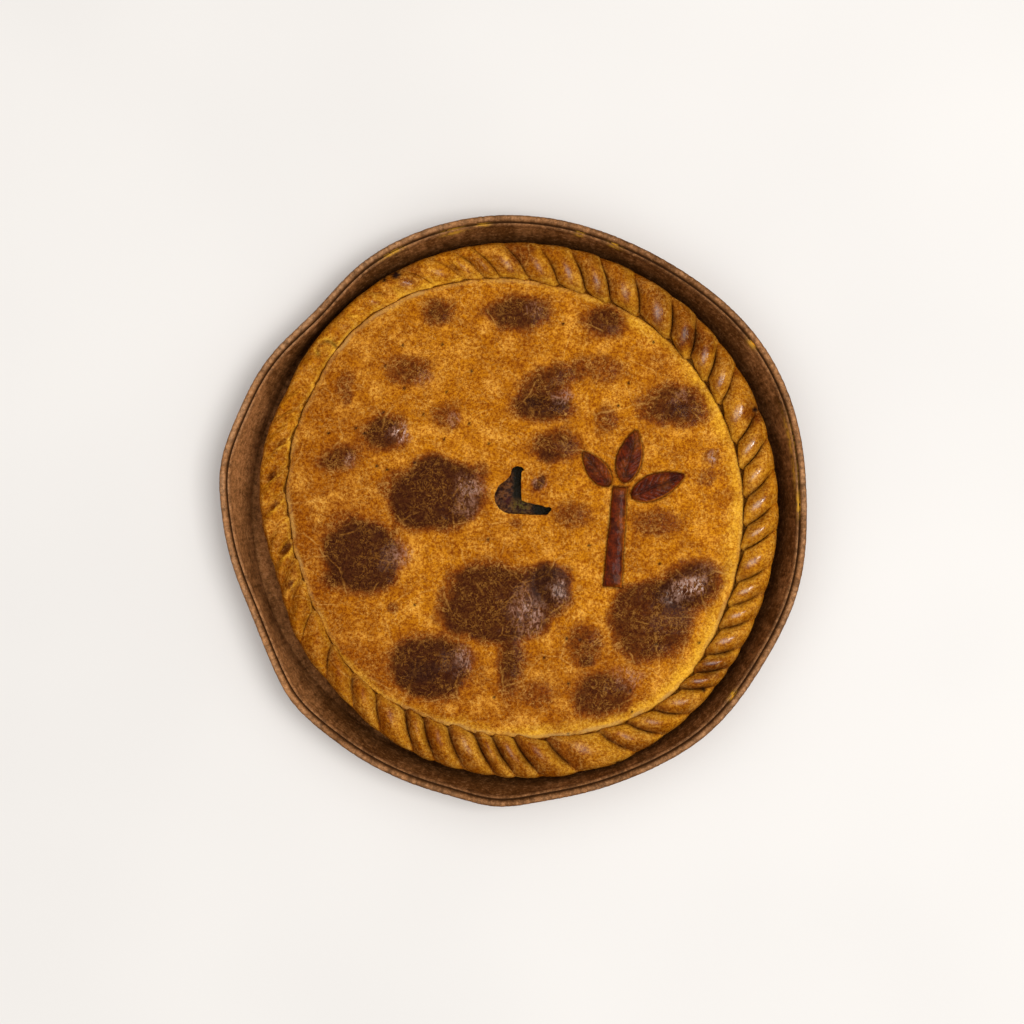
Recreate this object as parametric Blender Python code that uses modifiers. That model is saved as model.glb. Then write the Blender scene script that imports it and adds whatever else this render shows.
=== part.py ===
"""Octopus empanada: a round filled dough pie with a twisted rope edge, in its flared kraft paper tray.

Blender 4.5, metres, +Z up. The origin is the centre of the tray's flat underside.
Angles are degrees, anticlockwise from +X, seen from above. Lengths below are millimetres.
"""
import math

import bmesh
import bpy
from mathutils import Vector, noise

MM = 0.001
GAP = 0.3

# The paper tray: a flat board, a flared wall, a small groove and a rolled rim
TRAY_RADIUS = 168.0
TRAY_DENTS = ((15, 1.5, 10), (33, 5.0, 14), (95, 3.0, 18), (135, -5.6, 8), (171, 3.0, 6), (202, -5.4, 10),
              (221, 1.6, 5), (267, 3.0, 5), (312, 3.0, 10), (345, 2.8, 10))
TRAY_FOOT = 155.4
TRAY_FOOT_SHIFT = 0.9
TRAY_FOOT_SHIFT_ANGLE = 20.0
TRAY_BOARD = 1.0
TRAY_HEIGHT = 34.6
TRAY_RIM_WIDTH = 5.4
TRAY_PAPER = 0.9
TRAY_SECTIONS = 96

# The crust: how far its side and its groove lie from the tray's axis
CRUST_RADIUS = 153.5
CRUST_BULGES = ((85, 2.7, 45), (135, -1.4, 8), (152, -2.5, 6), (196, -7.0, 30), (196, -4.0, 9),
                (226, -2.5, 8), (293, 0.9, 3), (298, 4.2, 20))
GROOVE_RADIUS = 134.5
GROOVE_BULGES = ((75, -1.5, 8), (125, 5.5, 18), (200, -6.0, 18), (258, -4.0, 16), (310, 6.5, 16))
CRUST_FOOT = 1.3
CRUST_FLOOR = 5.3

# The rope: where each crease starts at the groove, how far it leans outwards, and how deep the twist is
CREASES = (3, 10, 16.5, 27, 33.5, 40.5, 47.5, 57, 65, 71.5, 78.5, 86, 93, 97, 102, 109, 118, 126, 137, 147,
           153, 157, 162, 169, 175, 181, 187, 192, 198, 206, 216, 225, 233, 241.5, 246.5, 253, 260, 264.5,
           270, 278, 291, 298, 305, 313, 318, 323, 330, 336, 342, 350, 356)
CREASE_LEAN = 6.0
TWIST_DEPTH = 1.6
TWIST_CHANGES = ((40, 0.7, 28), (130, -0.7, 26), (265, 0.7, 22))
SECTIONS_PER_STRAND = 4

# The lid: its edge sits in the groove, and it rises over a short slope to a blistered plateau
LID_UNDERSIDE = 22.5
LID_EDGE_TOP = 24.0
LID_RISE = 4.2
LID_SLOPE = 8.0
LID_CELLS = 42
LID_SWELL = 0.5
LID_EDGE_GAP = 0.4
# Each blister: centre x, y, half length, half width, tilt, height
BLISTERS = (
    (-43, 115, 9, 8, 0, 0.9), (4, 115, 19, 11, 0, 1.6), (53, 110, 13, 10, 0, 1.3),
    (-98, 74, 9, 5, 60, 0.5), (-60, 81, 14, 9, 0, 1.2), (-39, 55, 10, 8, 0, 1.2),
    (-75, 45, 13, 11, 20, 1.8), (-101, 30, 14, 8, 15, 1.3), (-45, 10, 31, 22, 20, 2.6),
    (50, 82, 18, 9, 0, 0.7), (20, 75, 19, 9, 20, 1.1), (17, 60, 18, 9, 0, 2.2),
    (24, 38, 15, 10, 0, 1.4), (54, 53, 7, 8, 0, 0.8), (93, 61, 20, 13, 0, 1.7),
    (115, 31, 6, 6, 0, 1.0), (32, 0, 10, 8, 0, 0.7), (83, -7, 15, 9, 0, 0.7),
    (-88, -27, 26, 23, 0, 2.6), (-48, -91, 26, 20, 0, 2.5), (-10, -54, 35, 24, 0, 2.4),
    (22, -45, 13, 14, 0, 1.6), (-3, -96, 7, 13, 0, 0.9), (80, -63, 26, 25, 0, 2.0),
    (101, -44, 22, 14, 25, 2.2), (42, -77, 11, 12, 0, 1.0), (52, -106, 18, 14, 0, 1.6),
    (14, -106, 11, 9, 0, 0.9))

# The vent: a slit cut through the lid, torn wide open on its left, with a limb to the right
VENT_CUTTER_HEIGHT = 14.0
VENT = ((-0.5, 24), (2, 25.5), (4.7, 24), (5, 6.6), (12, 4.2), (20, 0.6), (21, -0.4), (19.5, -1.3),
        (8, -2), (-1, -1.6), (-6.5, 1), (-9.8, 5), (-10.7, 9), (-9, 13.5), (-5, 17.5), (-1.2, 20))

# The filling under the lid
FILLING_TOP = 21.0
FILLING_UNEVEN = 0.5
FILLING_INSIDE_AT_TOP = 3.8
FILLING_INSIDE_AT_FOOT = 7.6
FILLING_CELLS = 16

# The dough sprig laid on the lid: a stem and pointed leaves
SPRIG_CLEAR = 0.5
STEM_FOOT = (57.5, -44.0)
STEM_TOP = (62.0, 14.0)
STEM_WIDTH = 11.0
STEM_THICK = 2.4
LEAF_THICK = 2.2
LEAF_VEIN = 0.7
# Each leaf: name, base x, y, direction, length, width
LEAVES = (("sprig_leaf_tip", 64.0, 16.5, 76, 31, 15), ("sprig_leaf_right", 68.5, 8.5, 22, 33, 15),
          ("sprig_leaf_left", 56.0, 14.5, 128, 25, 12))


def wrap(angle):
    """An angle brought between -180 and 180 degrees."""
    return (angle + 180.0) % 360.0 - 180.0


def swell(angle, base, changes):
    """A base value changed by smooth humps or dents: each is (angle, amount, spread)."""
    for at, amount, spread in changes:
        base += amount * math.exp(-0.5 * (wrap(angle - at) / spread) ** 2)
    return base


def crust_radius(angle):
    return swell(angle, CRUST_RADIUS, CRUST_BULGES)


def groove_radius(angle):
    return swell(angle, GROOVE_RADIUS, GROOVE_BULGES)


def tray_radius(angle):
    return swell(angle, TRAY_RADIUS, TRAY_DENTS)


def on_circle(radius, angle, height):
    """A point in metres from a radius and height in millimetres."""
    turn = math.radians(angle)
    return Vector((radius * math.cos(turn), radius * math.sin(turn), height)) * MM


def blister_height(x, y):
    """How far the blisters lift the lid at a place."""
    lift = 0.0
    for centre_x, centre_y, half_length, half_width, tilt, height in BLISTERS:
        turn = math.radians(tilt)
        along = (x - centre_x) * math.cos(turn) + (y - centre_y) * math.sin(turn)
        across = (y - centre_y) * math.cos(turn) - (x - centre_x) * math.sin(turn)
        reach = (along / half_length) ** 2 + (across / half_width) ** 2
        if reach < 1.0:
            lift = max(lift, height * (1.0 - reach) ** 1.5)
    return lift


def lid_height(x, y):
    """The height of the lid's top surface at a place, in millimetres."""
    radius = math.hypot(x, y)
    angle = math.degrees(math.atan2(y, x))
    inside = max(0.0, groove_radius(angle) - LID_EDGE_GAP - radius)
    plateau = 1.0 - math.exp(-inside / LID_SLOPE)
    swelling = LID_SWELL * noise.noise(Vector((x, y, 0.0)) / 40.0)
    return LID_EDGE_TOP + plateau * (LID_RISE + swelling + blister_height(x, y))


def square_to_disc(u, v):
    """Maps the square from -1 to 1 evenly onto the unit disc: returns radius and angle."""
    if u == 0.0 and v == 0.0:
        return 0.0, 0.0
    if abs(u) > abs(v):
        return abs(u), math.degrees(math.pi / 4 * v / u) + (180.0 if u < 0 else 0.0)
    return abs(v), 90.0 - math.degrees(math.pi / 4 * u / v) + (180.0 if v < 0 else 0.0)


def material(name, colour, roughness):
    """A plain Principled material."""
    made = bpy.data.materials.new(name)
    made.use_nodes = True
    shader = made.node_tree.nodes["Principled BSDF"]
    shader.inputs["Base Color"].default_value = (*colour, 1.0)
    shader.inputs["Roughness"].default_value = roughness
    shader.inputs["Metallic"].default_value = 0.0
    return made


def add_object(name, mesh, collection, finish):
    """Puts a mesh in the scene as a smooth object with one material."""
    made = bpy.data.objects.new(name, mesh)
    collection.objects.link(made)
    mesh.materials.clear()
    mesh.materials.append(finish)
    mesh.shade_smooth()
    return made


def face_outwards(work):
    """Makes all faces of a closed body point outwards."""
    bmesh.ops.recalc_face_normals(work, faces=work.faces)
    if work.calc_volume(signed=True) < 0.0:
        bmesh.ops.reverse_faces(work, faces=work.faces)


def turned(name, rows, sections, place, collection, finish):
    """A profile turned by Screw, then each point moved to where the real, uneven piece has it.

    place(section, row) gives a point in metres, and the profile is the one at section 0.
    """
    line = bpy.data.meshes.new(name + "_profile")
    starts = [place(0, row) for row in range(rows)]
    points = [(start.xy.length, 0.0, start.z) for start in starts]
    line.from_pydata(points, [(row, row + 1) for row in range(rows - 1)], [])
    guide = bpy.data.objects.new(name + "_profile", line)
    collection.objects.link(guide)
    screw = guide.modifiers.new("turn", "SCREW")
    screw.steps = sections
    screw.render_steps = sections
    screw.use_merge_vertices = False
    screw.merge_threshold = 0.0001
    bpy.context.view_layer.update()
    shape = bpy.data.meshes.new_from_object(guide.evaluated_get(bpy.context.evaluated_depsgraph_get()))
    bpy.data.objects.remove(guide)
    for vertex in shape.vertices:
        turn = math.degrees(math.atan2(vertex.co.y, vertex.co.x)) % 360.0
        section = round(turn * sections / 360.0) % sections
        vertex.co = place(section, vertex.index % rows)
    work = bmesh.new()
    work.from_mesh(shape)
    bmesh.ops.holes_fill(work, edges=[edge for edge in work.edges if edge.is_boundary], sides=0)
    face_outwards(work)
    work.to_mesh(shape)
    work.free()
    shape.name = name
    return add_object(name, shape, collection, finish)


def slab(name, cells_u, cells_v, place, collection, finish, flat_underside=False):
    """A grid with a second layer above it, joined at the sides.

    place(u, v, top) gives each point in metres, with u and v from -1 to 1.
    """
    work = bmesh.new()
    bmesh.ops.create_grid(work, x_segments=cells_u, y_segments=cells_v, size=1.0)
    under = list(work.faces)
    lower = list(work.verts)
    lifted = bmesh.ops.extrude_face_region(work, geom=under, use_keep_orig=True)["geom"]
    upper = [item for item in lifted if isinstance(item, bmesh.types.BMVert)]
    for vertex in lower:
        vertex.co = place(vertex.co.x, vertex.co.y, False)
    for vertex in upper:
        vertex.co = place(vertex.co.x, vertex.co.y, True)
    if flat_underside:
        bmesh.ops.dissolve_faces(work, faces=under, use_verts=False)
    face_outwards(work)
    shape = bpy.data.meshes.new(name)
    work.to_mesh(shape)
    work.free()
    return add_object(name, shape, collection, finish)


def make_tray(collection):
    """The thin paper tray, open at the top, with a rolled rim."""
    # Each row: measured from the foot, along the wall or from the rim, then how far out, then its height
    rows = (
        ("foot", -4.0, TRAY_BOARD), ("wall", 0.0, 1.6), ("wall", 0.0, 11.8), ("wall", 0.0, 22.4),
        ("rim", 0.0, TRAY_HEIGHT - 1.2), ("rim", 1.0, TRAY_HEIGHT - 2.6), ("rim", 2.3, TRAY_HEIGHT - 0.6),
        ("rim", 4.2, TRAY_HEIGHT), ("rim", 5.4, TRAY_HEIGHT - 1.8), ("rim", 4.4, TRAY_HEIGHT - 4.6),
        ("rim", 1.8, TRAY_HEIGHT - 5.2), ("wall", TRAY_PAPER, 11.8), ("foot", 0.4, 0.0))
    low = TRAY_BOARD
    high = TRAY_HEIGHT - 1.2

    def place(section, row):
        start, outward, height = rows[row]
        angle = 360.0 * section / TRAY_SECTIONS
        foot = TRAY_FOOT + TRAY_FOOT_SHIFT * math.cos(math.radians(angle - TRAY_FOOT_SHIFT_ANGLE))
        rim = tray_radius(angle) - TRAY_RIM_WIDTH
        if start == "foot":
            return on_circle(foot + outward, angle, height)
        if start == "rim":
            return on_circle(rim + outward, angle, height)
        return on_circle(foot + (rim - foot) * (height - low) / (high - low) + outward, angle, height)

    finish = material("kraft paper", (0.22, 0.09, 0.03), 0.7)
    return turned("tray", len(rows), TRAY_SECTIONS, place, collection, finish)


def strand_angle(section, lean):
    """The angle of a rope section: sections are shared out evenly inside each strand."""
    strand, part = divmod(section, SECTIONS_PER_STRAND)
    start = CREASES[strand]
    end = CREASES[(strand + 1) % len(CREASES)]
    width = (end - start) % 360.0
    return start + width * part / SECTIONS_PER_STRAND + CREASE_LEAN * lean


def make_crust_base(collection, finish):
    """The bottom and side of the crust, with the twisted rope that closes the pie."""
    # Each row: measured from the groove or the side, offset, height, outward relief, upward relief, lean
    rows = (
        ("groove", -7.0, CRUST_FLOOR, 0.0, 0.0, 0.0), ("groove", -3.0, 20.5, 0.0, 0.0, 0.0),
        ("groove", 0.0, 22.0, 0.0, 0.0, 0.0), ("groove", 2.4, 25.6, -1.0, 0.3, 0.05),
        ("groove", 6.0, 28.8, -0.5, 0.9, 0.25), ("side", -9.0, 30.2, 0.1, 1.2, 0.5),
        ("side", -4.6, 28.9, 0.6, 1.0, 0.8), ("side", -1.6, 25.6, 1.0, 0.5, 0.95),
        ("side", -0.4, 20.5, 0.9, 0.0, 1.0), ("side", -1.4, 12.0, 0.4, 0.0, 1.0),
        ("side", -4.2, 4.6, 0.1, 0.0, 1.0), ("side", -8.0, CRUST_FOOT, 0.0, 0.0, 1.0))
    sections = SECTIONS_PER_STRAND * len(CREASES)

    def place(section, row):
        start, offset, height, outward, upward, lean = rows[row]
        angle = strand_angle(section, lean)
        base = groove_radius(angle) if start == "groove" else crust_radius(angle)
        part = (section % SECTIONS_PER_STRAND) / SECTIONS_PER_STRAND
        strand = math.sin(math.pi * part) ** 0.7 if part else 0.0
        twist = strand * swell(angle, TWIST_DEPTH, TWIST_CHANGES)
        return on_circle(base + offset + outward * twist, angle, height + upward * twist)

    return turned("crust_base", len(rows), sections, place, collection, finish)


def make_filling(collection):
    """The filling, solid from the crust's floor to just under the lid."""
    def place(u, v, top):
        reach, angle = square_to_disc(u, v)
        limit = groove_radius(angle) - (FILLING_INSIDE_AT_TOP if top else FILLING_INSIDE_AT_FOOT)
        point = on_circle(reach * limit, angle, CRUST_FLOOR + GAP)
        if top:
            rough = noise.noise(point / MM / 9.0)
            point.z = (FILLING_TOP + FILLING_UNEVEN * rough) * MM
        return point

    return slab("filling", FILLING_CELLS, FILLING_CELLS, place, collection,
                material("octopus and onion filling", (0.16, 0.045, 0.015), 0.35), flat_underside=True)


def make_lid(collection, cutters, finish):
    """The blistered lid, cut through by the vent."""
    def place(u, v, top):
        reach, angle = square_to_disc(u, v)
        point = on_circle(reach * (groove_radius(angle) - LID_EDGE_GAP), angle, LID_UNDERSIDE)
        if top:
            point.z = lid_height(point.x / MM, point.y / MM) * MM
        return point

    lid = slab("crust_lid", LID_CELLS, LID_CELLS, place, collection, finish, flat_underside=True)
    cutter = make_vent_cutter(cutters, finish)
    cut = lid.modifiers.new("vent", "BOOLEAN")
    cut.operation = "DIFFERENCE"
    cut.solver = "EXACT"
    cut.object = cutter
    return lid


def make_vent_cutter(cutters, finish):
    """The vent's outline as a flat face, extruded through the lid."""
    work = bmesh.new()
    rim = [work.verts.new((x * MM, y * MM, (LID_UNDERSIDE - 2.0) * MM)) for x, y in VENT]
    face = work.faces.new(rim)
    lifted = bmesh.ops.extrude_face_region(work, geom=[face], use_keep_orig=True)["geom"]
    upper = [item for item in lifted if isinstance(item, bmesh.types.BMVert)]
    bmesh.ops.translate(work, vec=(0.0, 0.0, VENT_CUTTER_HEIGHT * MM), verts=upper)
    face_outwards(work)
    shape = bpy.data.meshes.new("vent_cutter")
    work.to_mesh(shape)
    work.free()
    cutter = add_object("vent_cutter", shape, cutters, finish)
    cutter.hide_render = True
    cutter.display_type = "WIRE"
    return cutter


def stem_half_width(along):
    """The stem narrows a little towards its top."""
    return 0.5 * STEM_WIDTH * (1.0 - 0.25 * along)


def leaf_half_width(width):
    """A leaf's half width along its length: widest before its middle, with a narrow foot and tip."""
    def half_width(along):
        belly = math.sin(math.pi * min(along, 0.999) ** 0.8) ** 0.8
        return 0.5 * width * (0.1 + 0.9 * belly)

    return half_width


def make_strip(name, foot, direction, length, half_width, thick, cells, collection, finish, vein=0.0):
    """A dough strip or leaf that lies on the lid. half_width(t) gives its half width along its length."""
    turn = math.radians(direction)
    forward = Vector((math.cos(turn), math.sin(turn)))
    side = Vector((-forward.y, forward.x))

    def place(u, v, top):
        along = 0.5 * (v + 1.0)
        spot = Vector(foot) + forward * (length * along) + side * (u * half_width(along))
        height = lid_height(spot.x, spot.y) + SPRIG_CLEAR
        if top:
            round_edge = 1.0 - 0.75 * abs(u) ** 3
            height += thick * round_edge - vein * max(0.0, 1.0 - abs(u) * 2.0)
        return Vector((spot.x, spot.y, height)) * MM

    return slab(name, cells[0], cells[1], place, collection, finish)


def make_sprig(collection):
    """The stem and its three leaves, each its own piece of dough."""
    finish = material("egg washed dough", (0.10, 0.02, 0.006), 0.25)
    run = Vector(STEM_TOP) - Vector(STEM_FOOT)
    direction = math.degrees(math.atan2(run.y, run.x))
    make_strip("sprig_stem", STEM_FOOT, direction, run.length, stem_half_width, STEM_THICK, (4, 10),
               collection, finish)
    for name, foot_x, foot_y, direction, length, width in LEAVES:
        make_strip(name, (foot_x, foot_y), direction, length, leaf_half_width(width), LEAF_THICK, (4, 8),
                   collection, finish, vein=LEAF_VEIN)


def main():
    """Builds every sub-part."""
    for old in list(bpy.data.objects):
        bpy.data.objects.remove(old)
    pieces = bpy.data.collections.new("octopus_empanada")
    cutters = bpy.data.collections.new("cutters")
    bpy.context.scene.collection.children.link(pieces)
    bpy.context.scene.collection.children.link(cutters)
    crust = material("baked crust", (0.45, 0.16, 0.015), 0.4)
    make_tray(pieces)
    make_crust_base(pieces, crust)
    make_filling(pieces)
    make_lid(pieces, cutters, crust)
    make_sprig(pieces)


main()
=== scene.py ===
"""The looks of a round empanada in its kraft paper tray: a blistered lid, a twisted rope edge and a vent.

Lengths are millimetres until a mesh is made, and angles are degrees anticlockwise from +X, seen from above.
"""
import math

import bmesh
import bpy
import numpy as np
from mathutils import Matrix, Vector


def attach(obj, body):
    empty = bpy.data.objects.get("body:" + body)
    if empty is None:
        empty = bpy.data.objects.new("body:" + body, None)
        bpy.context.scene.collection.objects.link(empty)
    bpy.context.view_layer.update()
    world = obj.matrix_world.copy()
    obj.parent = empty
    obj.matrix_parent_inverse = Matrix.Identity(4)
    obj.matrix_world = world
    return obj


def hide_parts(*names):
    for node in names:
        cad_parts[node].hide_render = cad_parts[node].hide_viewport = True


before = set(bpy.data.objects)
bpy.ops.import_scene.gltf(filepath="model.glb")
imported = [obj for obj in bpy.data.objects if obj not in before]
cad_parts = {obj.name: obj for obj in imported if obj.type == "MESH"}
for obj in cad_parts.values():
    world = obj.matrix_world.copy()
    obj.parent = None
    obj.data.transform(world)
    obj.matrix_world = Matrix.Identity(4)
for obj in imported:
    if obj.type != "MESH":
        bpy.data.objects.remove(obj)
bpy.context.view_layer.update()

MM = 0.001
BODY = "root"

# The photograph's frame: the camera looks straight down on the table
CAMERA_HEIGHT = 1300.0
CAMERA_OFFSET = (-0.6, -0.6)
CAMERA_LENS = 77.2
SENSOR = 36.0

# The paper tray; dents and bulges, here and below, are given by angle, how far out, and spread in degrees
TRAY_RADIUS = 168.0
TRAY_DENTS = ((15, 1.5, 10), (33, 5.0, 14), (95, 3.0, 18), (135, -5.6, 8), (171, 3.0, 6), (202, -5.4, 10),
              (221, 1.6, 5), (267, 3.0, 5), (312, 3.0, 10), (345, 2.8, 10))
TRAY_FOOT = 155.4
TRAY_FOOT_SHIFT = 0.9
TRAY_FOOT_SHIFT_ANGLE = 20.0
TRAY_BOARD = 1.0
TRAY_HEIGHT = 34.6
TRAY_RIM_WIDTH = 5.4
TRAY_PAPER = 0.9
TRAY_SECTIONS = 1400
TRAY_ROW_COUNT = 70
TRAY_SHARP = 60

# The crust's side and the groove between lid and rope
CRUST_RADIUS = 153.5
CRUST_BULGES = ((85, 2.7, 45), (135, -1.4, 8), (152, -2.5, 6), (196, -7.0, 30), (196, -4.0, 9),
                (226, -2.5, 8), (293, 0.9, 3), (298, 4.2, 20))
GROOVE_RADIUS = 134.5
GROOVE_BULGES = ((75, -1.5, 8), (125, 5.5, 18), (200, -6.0, 18), (258, -4.0, 16), (310, 6.5, 16))
CRUST_FOOT = 1.3
CRUST_FLOOR = 5.3
CRUST_SHARP = 60

# The rope: where each crease starts at the groove, how far it leans outwards, and how deep the twist is
CREASES = (3, 10, 16.5, 27, 33.5, 40.5, 47.5, 57, 65, 71.5, 78.5, 86, 93, 97, 102, 109, 118, 126, 137, 147,
           153, 157, 162, 169, 175, 181, 187, 192, 198, 206, 216, 225, 233, 241.5, 246.5, 253, 260, 264.5,
           270, 278, 291, 298, 305, 313, 318, 323, 330, 336, 342, 350, 356)
CREASE_LEAN = 6.0
TWIST_DEPTH = 1.6
TWIST_CHANGES = ((40, 0.7, 28), (130, -1.1, 32), (180, -0.3, 20), (265, 0.7, 22))
FLAT_ROPE = ((130, 0.9, 34), (178, 0.6, 20))
ROPE_RADIUS = 145.0
SECTIONS_PER_STRAND = 30
ROPE_ROWS = 60
ROPE_VALLEY = 3.4
# The rope's rolled-up end
CURL_CENTRE = (-108.5, 92.5)
CURL_RADIUS = 7.0
CURL_START = -50.0

# The lid
LID_UNDERSIDE = 22.5
LID_EDGE_TOP = 24.0
LID_RISE = 4.2
LID_SLOPE = 8.0
LID_CELLS = 300
LID_SWELL = 0.5
LID_EDGE_GAP = 0.4
LID_SHARP = 50
# Each blister: centre x, y, half length, half width, tilt, height, how dark it is baked
BLISTERS = (
    (-43, 115, 9, 8, 0, 0.9, 0.7), (4, 115, 19, 11, 0, 1.6, 0.8), (53, 110, 13, 10, 0, 1.3, 0.75),
    (-98, 74, 9, 5, 60, 0.5, 0.45), (-60, 81, 14, 9, 0, 1.2, 0.62), (-39, 55, 10, 8, 0, 1.2, 0.5),
    (-75, 45, 13, 11, 20, 1.8, 0.8), (-101, 30, 14, 8, 15, 1.3, 0.72), (-45, 10, 31, 22, 20, 2.6, 0.85),
    (50, 82, 18, 9, 0, 0.7, 0.4), (20, 75, 19, 9, 20, 1.1, 0.7), (17, 60, 18, 9, 0, 2.2, 0.95),
    (24, 38, 15, 10, 0, 1.4, 0.7), (54, 53, 7, 8, 0, 0.8, 0.5), (93, 61, 20, 13, 0, 1.7, 0.72),
    (115, 31, 6, 6, 0, 1.0, 0.3), (34, -2, 12, 8, 0, 0.7, 0.5), (83, -7, 15, 9, 0, 0.7, 0.5),
    (-88, -27, 26, 23, 0, 2.6, 0.85), (-48, -91, 26, 20, 0, 2.5, 0.92), (-10, -54, 35, 24, 0, 2.4, 0.82),
    (22, -45, 13, 14, 0, 1.6, 0.85), (-3, -96, 7, 13, 0, 0.9, 0.6), (80, -63, 26, 25, 0, 2.0, 0.75),
    (101, -44, 22, 14, 25, 2.2, 0.85), (42, -77, 11, 12, 0, 1.0, 0.6), (52, -106, 18, 14, 0, 1.6, 0.75),
    (14, -106, 11, 9, 0, 0.9, 0.45), (-1, -84, 8, 15, 0, 1.2, 0.7))
BLISTER_FADE = 6.0
# Flat browned patches and burnt cores: centre x, y, half length, half width, tilt, how dark
BROWNED = (
    (12, 63, 6, 4, 0, 0.9), (28, 62, 6, 4, 0, 0.8), (20, 31, 8, 5, 0, 0.7), (95, 59, 8, 6, 0, 0.7),
    (-52, -93, 12, 8, 0, 0.8), (18, -37, 9, 7, 0, 0.95), (43, -87, 6, 4, 0, 0.7), (15, 16, 7, 5, 30, 0.95),
    (113, 20, 9, 7, 0, 0.4), (-96, 66, 4, 8, 0, 0.55), (-70, -56, 5, 4, 0, 0.5), (2, -7, 7, 4, 0, 0.45),
    (-112, -10, 8, 6, 0, 0.25))
# Wrinkled skin with a painted pale sheen where a blister catches light: centre x, y, half length, half width,
# tilt, how much
WRINKLED = (
    (-51, 76, 6, 5, 0, 0.5), (-34, 54, 5, 5, 0, 0.5), (-65, 44, 6, 7, 0, 1.0), (-95, 29, 4, 5, 0, 0.7),
    (-25, 14, 10, 9, 0, 0.7), (-27, 2, 8, 7, 0, 0.6), (-65, -25, 9, 10, 0, 0.6), (-28, -85, 8, 10, 0, 0.7),
    (8, -60, 11, 16, 0, 0.75), (27, -46, 7, 8, 0, 0.8), (100, -45, 18, 9, 25, 1.0), (66, -96, 9, 8, 0, 0.6),
    (115, 31, 5, 5, 0, 0.8), (15, 16, 6, 4, 0, 0.6), (29, 66, 8, 5, 0, 0.8), (12, 117, 7, 5, 0, 0.4),
    (98, 66, 8, 5, 0, 0.4))
# Deeper gold between the blisters: centre x, y, radius, how much deeper
AMBER_PATCHES = ((-11, -21, 22, 0.4), (85, 86, 9, 0.6), (14, 11, 12, 0.4), (-92, 47, 16, 0.2),
                 (60, -20, 12, 0.2))
# Fork pricks in the lid
PRICKS = (
    (-63, 71), (-38.5, 69), (-24, 81), (-41, 96.5), (-64, 96), (-74, 84), (-75, 57), (-86, 45), (-52, 56),
    (-91, 48), (-107, 45), (-73, 24), (-79, 26), (-57, 28), (-40, 41.5), (-14, 39), (-25.5, 50.5),
    (29, 108.5), (67, 74), (61, 61), (81.5, 98), (-57, -54.5), (-14.5, -16.5), (-11, -108), (44, -20),
    (32, -100), (18, -85), (85, -30.5), (83, -77), (108, -76.5), (31, -74), (39, -74.5), (68, -104),
    (69, -116.5), (32, -129.5))
PRICK_RADIUS = 1.1
# Browned patches on the rope: x, y, radius, how dark
ROPE_PATCHES = ((5, 150, 9, 0.45), (-63, 139, 10, 0.25), (138, 56, 9, 0.4), (100, 100, 8, 0.3),
                (107, 98, 10, 0.25), (118, -92, 9, 0.3), (142, 10, 8, 0.2), (-136, 20, 8, 0.2))
# Burnt specks on the rope: x, y, radius
ROPE_SPECKS = ((-68, 137, 3.0), (-74.5, 134, 1.6), (140.5, 59, 2.0), (110, -103.5, 1.6), (61, -146, 1.8))
# Pits pressed into the flat part of the rope: centre x, y, half length, half width, tilt, how deep
ROPE_PITS = ((-132, 53, 4.0, 1.3, 35, 0.5), (-134, 40, 4.0, 1.5, 40, 0.8), (-140.5, 20, 4.8, 1.9, 45, 1.0),
             (-139, 3, 4.4, 1.7, 45, 0.8), (-132, -22, 5.4, 2.2, 60, 1.2), (-129, -42.5, 3.6, 1.5, 50, 0.9),
             (-128, 68, 3.5, 1.2, 25, 0.5), (-60, 133, 5.0, 1.4, 160, 0.4), (-34, 141, 5.0, 1.4, 140, 0.5))

# The vent's outline
VENT = ((-0.9, 23.6), (0.5, 25.3), (3.2, 25.9), (5.2, 25.2), (6.6, 23.4), (5.0, 22.4), (4.8, 15), (4.9, 8),
        (6.2, 5.6), (12, 4.1), (18, 2.7), (22.2, 1.6), (21.2, -0.6), (18.8, -2.3), (9, -2.2), (1, -1.7),
        (-4.5, -0.9), (-8.6, 2), (-10.4, 6.5), (-10.2, 10.5), (-7.9, 15.1), (-3.8, 18.2), (-1.6, 20.5))

# The filling
FILLING_CELLS = 200
FILLING_TOP = 21.0
FILLING_INSIDE_AT_TOP = 3.8
FILLING_INSIDE_AT_FOOT = 7.6

# The dough sprig
SPRIG_CLEAR = 0.4
STRIP_SHARP = 50
STEM_FOOT = (57.5, -44.0)
STEM_TOP = (62.0, 14.0)
STEM_WIDTH = 11.0
STEM_THICK = 2.4
STEM_CELLS = (28, 120)
LEAF_THICK = 2.2
LEAF_VEIN = 0.7
LEAF_CELLS = (40, 90)
# Each leaf: name, foot, heading, length, width
LEAVES = (("sprig_leaf_tip", (64.0, 16.5), 76, 31, 15), ("sprig_leaf_right", (68.5, 8.5), 22, 33, 15),
          ("sprig_leaf_left", (56.0, 14.5), 128, 25, 12))

# The table's width, in metres
FLOOR_SIZE = 16.0

# The light, in metres: a large soft panel 20 degrees off the vertical on the right, in a room that is palest
# overhead and turns into its walls between the two angles from the vertical
KEY_PLACE = (1.03, -0.05, 2.82)
KEY_SIZE = 1.3
KEY_WATTS = 44.0
KEY_COLOUR = (1.0, 0.985, 0.96)
ROOM_ANGLES = (35.0, 60.0)
ROOM_OVERHEAD = 1.2
ROOM_WALLS = 0.35
ROOM_COLOUR = (1.0, 0.985, 0.965)

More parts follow.
